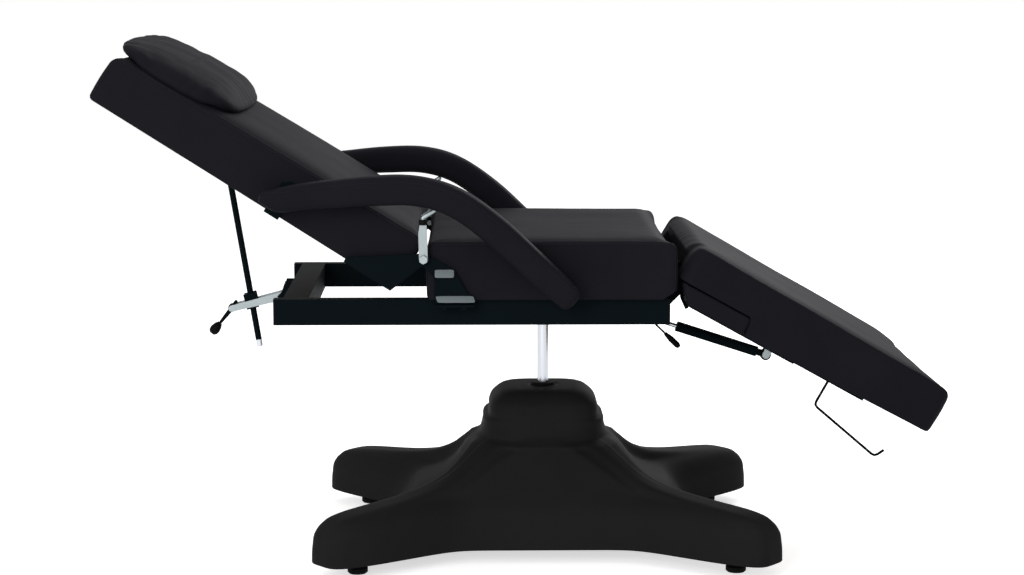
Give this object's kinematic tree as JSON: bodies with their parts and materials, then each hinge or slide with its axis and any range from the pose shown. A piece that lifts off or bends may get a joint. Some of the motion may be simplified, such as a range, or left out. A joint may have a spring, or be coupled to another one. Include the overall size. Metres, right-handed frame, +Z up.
{
  "type": "massage table",
  "caption": "Padded salon bed with a tilting backrest, head pillow and leg rest, bowed armrests, and a steel frame on a hydraulic column with a moulded four-legged base.",
  "frame": {"origin": "on the floor under the middle of the bounding box", "axes": "+X along the bed from the head to the feet, +Y across the bed to the side with the foot pedal, +Z up"},
  "size_m": [1.5681, 0.72, 0.985],
  "materials": {
    "leather": "satin",
    "frame_steel": "satin",
    "zinc_steel": "satin",
    "chrome": "polished",
    "cover_plastic": "matte",
    "cap_plastic": "satin",
    "rubber": "matte",
    "plywood": "matte"
  },
  "bodies": {
    "base": {"base_cover": "cover_plastic", "base_frame": "frame_steel", "base_bolts": "zinc_steel", "glides": "rubber", "pump_cylinder": "frame_steel", "pump_foot": "frame_steel", "neck_collar": "rubber"},
    "pedal": {"pedal_arm": "frame_steel", "pedal_pad": "rubber"},
    "piston": {"piston_rod": "chrome"},
    "frame": {"side_rail_near": "frame_steel", "side_rail_far": "frame_steel", "head_cross_rail": "frame_steel", "foot_cross_rail": "frame_steel", "mid_cross_rails": "frame_steel", "rail_caps": "cap_plastic", "column_hub": "frame_steel", "frame_bolts": "zinc_steel", "hinge_bracket_near": "frame_steel", "hinge_bracket_far": "frame_steel", "yoke_bracket": "frame_steel", "gas_bracket": "frame_steel", "leg_hinge_ears": "frame_steel", "seat_board": "plywood", "seat_cushion": "leather"},
    "backrest": {"back_board": "plywood", "back_cushion": "leather", "back_hinge_arm_near": "frame_steel", "back_hinge_arm_far": "frame_steel", "hinge_pins": "zinc_steel", "strut_clevis": "frame_steel", "armrest_near": "leather", "armrest_far": "leather", "armrest_strap": "frame_steel", "armrest_link_near": "zinc_steel", "armrest_link_far": "zinc_steel", "link_sleeves": "rubber"},
    "pillow": {"head_pillow": "leather"},
    "strut": {"strut_rod": "frame_steel", "strut_tip": "chrome"},
    "yoke": {"yoke_bars": "zinc_steel", "clamp_cheeks": "frame_steel"},
    "back_release": {"back_lever": "frame_steel", "back_lever_grip": "cap_plastic"},
    "carriage": {"carriage_tubes": "frame_steel", "carriage_plates": "frame_steel", "leg_apron": "leather", "gas_clevis": "zinc_steel"},
    "leg_rest": {"leg_board": "plywood", "leg_cushion": "leather", "slide_bars": "zinc_steel", "roll_holder": "frame_steel"},
    "gas_spring_rod": {"gas_rod": "chrome"},
    "gas_spring_tube": {"gas_cylinder": "frame_steel"},
    "leg_release": {"leg_lever": "frame_steel", "leg_lever_grip": "cap_plastic"}
  },
  "joints": [
    {"name": "column_lift", "type": "slide", "parent": "base", "child": "piston", "axis": [0, 0, 1], "range_m": [-0.1, 0.095]},
    {"name": "column_swivel", "type": "hinge", "parent": "piston", "child": "frame", "pos_m": [0.0465, 0, 0.49], "axis": [0, 0, 1], "continuous": true},
    {"name": "backrest_tilt", "type": "hinge", "parent": "frame", "child": "backrest", "pos_m": [-0.18, 0, 0.588], "axis": [0, 1, 0], "range_deg": [-31.4, 13]},
    {"name": "pillow_slide", "type": "slide", "parent": "backrest", "child": "pillow", "axis": [0.8561, 0, -0.5167], "range_m": [0, 0.1]},
    {"name": "strut_swing", "type": "hinge", "parent": "backrest", "child": "strut", "pos_m": [-0.55976, 0, 0.70472], "axis": [0, 1, 0], "range_deg": [-3, 5]},
    {"name": "yoke_swing", "type": "hinge", "parent": "frame", "child": "yoke", "pos_m": [-0.462, 0, 0.48], "axis": [0, 1, 0], "range_deg": [-18, 8]},
    {"name": "back_release_pull", "type": "hinge", "parent": "yoke", "child": "back_release", "pos_m": [-0.55903, 0, 0.45581], "axis": [0, 1, 0], "range_deg": [-14, 0], "stiffness_Nm_per_rad": 2, "springref_deg": 6.88},
    {"name": "legrest_tilt", "type": "hinge", "parent": "frame", "child": "carriage", "pos_m": [0.294, 0, 0.56], "axis": [0, 1, 0], "range_deg": [-29, 6]},
    {"name": "legrest_extend", "type": "slide", "parent": "carriage", "child": "leg_rest", "axis": [0.8746, 0, -0.4848], "range_m": [0, 0.11]},
    {"name": "gas_spring_swing", "type": "hinge", "parent": "frame", "child": "gas_spring_rod", "pos_m": [0.236, 0, 0.44], "axis": [0, 1, 0], "range_deg": [-26, 7]},
    {"name": "gas_spring_stroke", "type": "slide", "parent": "gas_spring_rod", "child": "gas_spring_tube", "axis": [0.9517, 0, -0.3069], "range_m": [-0.017, 0.066]},
    {"name": "leg_release_pull", "type": "hinge", "parent": "frame", "child": "leg_release", "pos_m": [0.254, 0.0152, 0.432], "axis": [0, 1, 0], "range_deg": [0, 12], "stiffness_Nm_per_rad": 2, "springref_deg": -5.73},
    {"name": "pedal_press", "type": "hinge", "parent": "base", "child": "pedal", "pos_m": [0.0465, 0.064, 0.092], "axis": [1, 0, 0], "range_deg": [-8, 4], "stiffness_Nm_per_rad": 30}
  ],
  "couplings": [
    {"joint": "strut_swing", "follows": "backrest_tilt", "ratio": -0.13},
    {"joint": "yoke_swing", "follows": "backrest_tilt", "ratio": 0.5},
    {"joint": "gas_spring_swing", "follows": "legrest_tilt", "ratio": 0.8608},
    {"joint": "gas_spring_stroke", "follows": "legrest_tilt", "m_per_rad": -0.12601}
  ]
}
